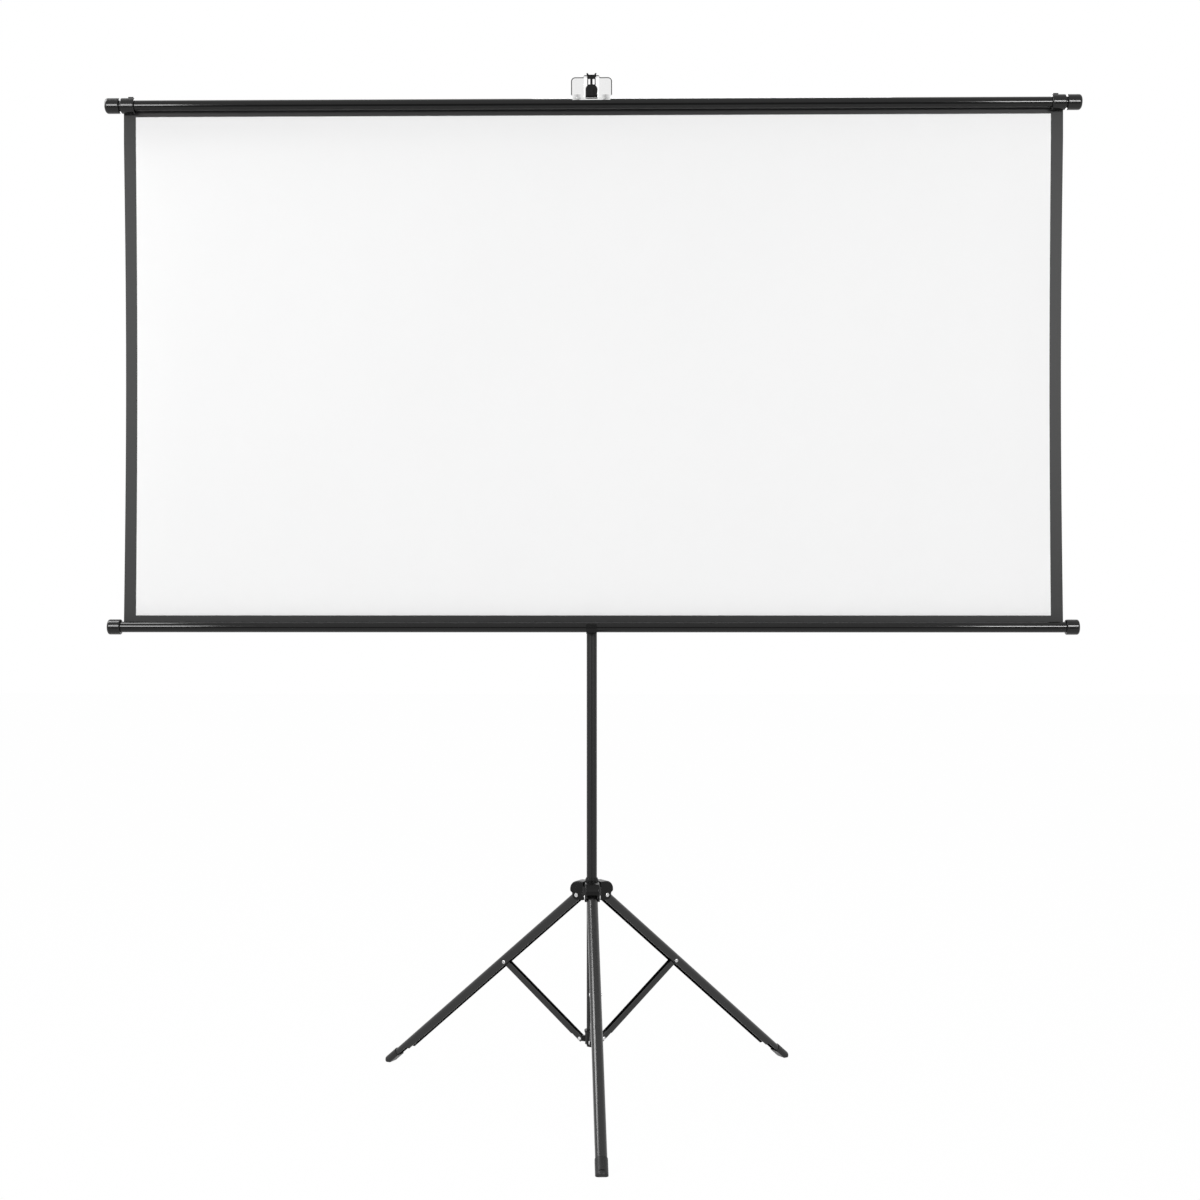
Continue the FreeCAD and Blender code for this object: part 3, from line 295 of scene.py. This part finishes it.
def shoe_rubber():
    """Smooth rubber, greyed with floor dust towards the sole."""
    paint = Finish("shoe_rubber")
    place = paint.place()
    height = paint.parts_of(place)[2]
    specks = paint.noise(place, scale=420.0, detail=4.0, roughness=0.65)
    low_down = 1 - (height / DUST_HEIGHT).least(1.0)
    dust = low_down * specks.between(0.35, 1.0)
    black = grey(0.008)
    dusty = grey(0.04)
    colour = paint.mixed(dust * 0.4, black, dusty)
    return paint.set(Base_Color=colour, Roughness=specks.between(0.34, 0.46), Specular_IOR_Level=SHOE_SHEEN,
                     Normal=paint.bumped(specks, RUBBER_DEPTH, strength=0.5))


def hanger_chrome():
    """Bright plated plate: upright brushing, cloudy polish, painted grey shade on the humps and a painted
    dark line of shade along the edges.
    """
    paint = Finish("hanger_chrome")
    place = paint.place()
    brushing = paint.streaks(place, scale=(1800.0, 1800.0, 24.0), detail=2.0)
    cloud = paint.noise(place, scale=60.0)
    plating = paint.mixed(cloud * 0.5, grey(0.86), grey(0.78))
    across, _, height = paint.parts_of(place)
    out = across.absolute()

    # Painted shade: a dark line along the plate's sides and top, round its shoulders and step
    crown = plate_high[2] - PLATE_STEP * (out > PLATE_STEP_HALF)
    beyond_side = (out - (plate_high[0] - PLATE_ROUND)).most(0.0)
    beyond_top = (height - (crown - PLATE_ROUND)).most(0.0)
    to_corner = (beyond_side * beyond_side + beyond_top * beyond_top).root()
    rim = to_corner > PLATE_ROUND - PLATE_RIM

    # Painted shade: the two humps below the plate's top are greyed, mottled by the polish clouds
    from_hump = ((out - HUMP_MIDDLE) / HUMP_HALF).absolute()
    below_hump_top = plate_high[2] - HUMP_TOP - height > 0.0
    hump_shade = (1 - from_hump).most(0.0) * below_hump_top * cloud.between(0.4, 1.0)

    hump_shade_grey = grey(0.3)
    edge_shade_grey = grey(0.05)
    colour = paint.mixed(rim, paint.mixed(hump_shade, plating, hump_shade_grey), edge_shade_grey)
    return paint.set(Base_Color=colour, Metallic=1.0, Roughness=brushing.between(0.1, 0.18) + cloud * 0.05,
                     Normal=paint.bumped(brushing, BRUSHING_DEPTH, strength=0.5))


def bright_steel():
    """Plated rivets and screws, a little tarnished in patches."""
    paint = Finish("bright_steel")
    place = paint.place()
    tarnish = paint.noise(place, scale=260.0, detail=4.0, roughness=0.6)
    bright = grey(0.68)
    tarnished = grey(0.42)
    colour = paint.mixed(tarnish * 0.6, bright, tarnished)
    return paint.set(Base_Color=colour, Metallic=1.0, Roughness=tarnish.between(0.2, 0.36),
                     Normal=paint.bumped(tarnish, TARNISH_DEPTH, strength=0.4))


# Finishes of the sheet

def weave(paint):
    """Height of a plain weave on the cloth's own map."""
    across, up, _ = paint.parts_of(paint.cloth_place())
    warp = (across * (sheet_wide / THREAD_PITCH * math.pi)).sine()
    weft = (up * (sheet_tall / THREAD_PITCH * math.pi)).sine()
    return warp * weft


def sheet_front():
    """Matt white coating, with the black border printed round it."""
    paint = Finish("sheet_front")
    across, up, _ = paint.parts_of(paint.cloth_place())
    from_side = (0.5 - (across - 0.5).absolute()) * sheet_wide
    from_foot = up * sheet_tall
    from_head = (1 - up) * sheet_tall
    inside = (from_side > BORDER_SIDE) * (from_foot > BORDER_BOTTOM) * (from_head > BORDER_TOP)
    cloud = paint.noise(paint.place(), scale=2.2, detail=4.0)
    fleck = paint.noise(paint.place(), scale=700.0, detail=2.0)
    white = paint.mixed(cloud, grey(0.885), grey(0.905))
    black = paint.mixed(fleck, grey(0.023), grey(0.035))
    return paint.set(Base_Color=paint.mixed(inside, black, white),
                     Roughness=inside.between(0.42, 0.92) + fleck * 0.05, Specular_IOR_Level=SHEET_SHEEN,
                     Normal=paint.bumped(weave(paint), FRONT_WEAVE_DEPTH, strength=0.35))


def sheet_back():
    """Black light-stop coating on the back, duller than the front's border."""
    paint = Finish("sheet_back")
    cloud = paint.noise(paint.place(), scale=3.0, detail=5.0, roughness=0.6)
    colour = paint.mixed(cloud, grey(0.012), grey(0.024))
    return paint.set(Base_Color=colour, Roughness=cloud.between(0.6, 0.75),
                     Normal=paint.bumped(weave(paint), BACK_WEAVE_DEPTH, strength=0.5))


# Sheet

def hang(x, z):
    """How far a point of the flat sheet moves along X and Y when the sheet hangs."""
    rise = (z - sheet_low[2]) / (sheet_tall - HELD_TOP)
    slack = math.sin(math.pi * min(rise, 1.0))
    edge = max(0.0, 1 - (sheet_wide / 2 - abs(x)) / CURL_REACH)
    wave = math.sin(RIPPLE_ACROSS * x + RIPPLE_LEAN * math.sin(RIPPLE_UP * z))
    inward = -math.copysign(WAIST * edge * edge * slack, x)
    back = CURL * edge * edge * slack - RIPPLE * slack * (1 + wave) / 2
    return inward, back


def make_sheet():
    """Grid cut to the sheet's size, shaped as it hangs, then given its thickness behind the front."""
    bpy.ops.object.select_all(action="DESELECT")
    middle = (0, sheet_low[1], (sheet_low[2] + sheet_high[2]) / 2)
    bpy.ops.mesh.primitive_grid_add(x_subdivisions=GRID_ACROSS, y_subdivisions=GRID_UP, size=1.0,
                                    calc_uvs=True, location=middle, rotation=(math.radians(90), 0, 0))
    sheet = bpy.context.object
    sheet.name = "sheet_cloth"
    sheet.scale = (sheet_wide, sheet_tall, 1.0)
    bpy.ops.object.transform_apply(location=True, rotation=True, scale=True)
    for point in sheet.data.vertices:
        inward, back = hang(point.co.x, point.co.z)
        point.co.x += inward
        point.co.y += back
    sheet.data.materials.append(sheet_front())
    sheet.data.materials.append(sheet_back())
    wall = sheet.modifiers.new("thickness", "SOLIDIFY")
    wall.thickness = sheet_thick
    wall.offset = -1.0
    wall.material_offset = 1
    wall.material_offset_rim = 1
    bpy.ops.object.modifier_apply(modifier=wall.name)
    bpy.ops.object.shade_smooth_by_angle(angle=CREASE_ANGLE)
    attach(sheet, "pole")
    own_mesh(sheet)
    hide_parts("screen_sheet")


# Paint on the nodes that stay as they are

def paint_nodes():
    finishes = {
        "bar_enamel": bar_enamel(),
        "pole_enamel": tube_enamel("pole_enamel", level=0.006, rough=0.36, sheen=POLE_SHEEN),
        "leg_enamel": tube_enamel("leg_enamel", level=0.004, rough=0.2, sheen=LEG_SHEEN),
        "cap_plastic": moulded_plastic("cap_plastic", level=0.004, rough=0.16, sheen=CAP_SHEEN,
                                       grain=1500.0, depth=CAP_GRAIN_DEPTH),
        "moulding": moulded_plastic("moulding", level=0.005, rough=0.26, sheen=MOULDING_SHEEN,
                                    grain=900.0, depth=MOULDING_GRAIN_DEPTH),
        "hanger_chrome": hanger_chrome(),
        "bright_steel": bright_steel(),
        "shoe_rubber": shoe_rubber(),
    }
    for part in frame["record"]["subparts"]:
        finish = finishes.get(part["material_slot"])
        if finish is None:
            continue
        node = frame["nodes"][part["node"]]
        node.data.materials.clear()
        node.data.materials.append(finish)


# Floor
FLOOR_SIZE = 20.0
FLOOR_FRONT = -2.6
FLOOR_DROP = 0.0005
FLOOR_GREY = 0.8
FLOOR_ROUGH = 0.9
FLOOR_GLOW = 0.99


def floor_white():
    """White to the camera and in reflections; a small share stays plain floor, so a shadow still shows."""
    paint = Finish("floor_white")
    seen = paint.ray("Camera").most(paint.ray("Glossy")).most(paint.ray("Transmission")) * FLOOR_GLOW
    paint.set(Base_Color=grey(FLOOR_GREY), Roughness=FLOOR_ROUGH)
    plain = Shade(paint, paint.shader.outputs[0])
    glow = paint.node("ShaderNodeEmission", inputs={"Color": grey(1.0), "Strength": 1.0})
    mix = paint.node("ShaderNodeMixShader", inputs={0: seen, 1: plain, 2: glow})
    paint.feed(paint.tree.nodes["Material Output"].inputs["Surface"], mix)
    return paint.material


def build_floor():
    bpy.ops.object.select_all(action="DESELECT")
    middle = FLOOR_FRONT + FLOOR_SIZE / 2
    bpy.ops.mesh.primitive_plane_add(size=FLOOR_SIZE, location=(0, middle, -FLOOR_DROP))
    floor = bpy.context.object
    floor.name = "studio_floor"
    floor.data.materials.append(floor_white())


# Backdrop: its fill light, and where a dim room lies behind the camera
SKY_FILL = 0.25
ROOM_WAY = (0.0, -0.94, -0.34)
ROOM_EDGE = 0.88
ROOM_HEART = 0.97
ROOM_LEVEL = 0.25


def build_world():
    """White backdrop, with the dim room in reflections only; its light on the object is a soft fill."""
    world = bpy.data.worlds.new("studio")
    bpy.context.scene.world = world
    world.use_nodes = True
    sky = Nodes(world.node_tree)
    way = sky.node("ShaderNodeTexCoord", output="Generated")
    toward = sky.node("ShaderNodeVectorMath", {"operation": "DOT_PRODUCT"}, {0: way, 1: ROOM_WAY},
                      output="Value")
    room = sky.node("ShaderNodeMapRange", {"interpolation_type": "SMOOTHSTEP"},
                    {"Value": toward, "From Min": ROOM_EDGE, "From Max": ROOM_HEART,
                     "To Min": 1.0, "To Max": ROOM_LEVEL})
    seen = sky.ray("Camera").most(sky.ray("Transmission"))
    glossy = sky.ray("Glossy")
    strength = seen + (1 - seen) * (glossy * room + (1 - glossy) * SKY_FILL)
    backdrop = world.node_tree.nodes["Background"]
    backdrop.inputs["Color"].default_value = grey(1.0)
    sky.feed(backdrop.inputs["Strength"], strength)


# Lamps

def soft_box(name, place, aim, wide, tall, power):
    light = bpy.data.lights.new(name, "AREA")
    light.shape = "RECTANGLE"
    light.size = wide
    light.size_y = tall
    light.energy = power
    lamp = bpy.data.objects.new(name, light)
    lamp.visible_camera = False
    lamp.location = place
    lamp.rotation_euler = (Vector(aim) - Vector(place)).to_track_quat("-Z", "Y").to_euler()
    bpy.context.collection.objects.link(lamp)


def build_lamps():
    """Two boxes light the sheet, one at the side draws the streak on the front leg, one lights the back."""
    soft_box("left_box", place=(-2.4, -3.6, 2.4), aim=(-0.7, pole_y, 1.7), wide=0.9, tall=1.5, power=72.0)
    soft_box("right_box", place=(2.2, -3.6, 2.4), aim=(0.7, pole_y, 1.7), wide=0.9, tall=0.9, power=77.0)
    soft_box("side_box", place=(-2.5, 0.1, 3.3), aim=(0.0, -0.3, 0.3), wide=0.9, tall=2.0, power=62.0)
    soft_box("back_box", place=(0.5, 3.6, 3.4), aim=(0.0, pole_y, 1.6), wide=1.6, tall=1.6, power=40.0)


# Camera: lens and sensor in millimetres, places in metres from the pole
LENS = 50.0
SENSOR = 36.0
CAMERA_DISTANCE = 4.064
CAMERA_HEIGHT = 1.1994
CAMERA_ACROSS = 0.020
CAMERA_TURN = math.radians(0.8)


def build_camera():
    """Level camera, turned a little round the pole and set a little to its right."""
    view = bpy.data.cameras.new("view")
    view.lens = LENS
    view.sensor_width = SENSOR
    camera = bpy.data.objects.new("view", view)
    across = CAMERA_DISTANCE * math.sin(CAMERA_TURN) + CAMERA_ACROSS * math.cos(CAMERA_TURN)
    back = CAMERA_DISTANCE * math.cos(CAMERA_TURN) - CAMERA_ACROSS * math.sin(CAMERA_TURN)
    camera.location = (across, pole_y - back, CAMERA_HEIGHT)
    camera.rotation_euler = (math.radians(90), 0, CAMERA_TURN)
    bpy.context.collection.objects.link(camera)
    bpy.context.scene.camera = camera
    bpy.context.scene.view_settings.view_transform = "Standard"


paint_nodes()
make_sheet()
build_floor()
build_world()
build_lamps()
build_camera()
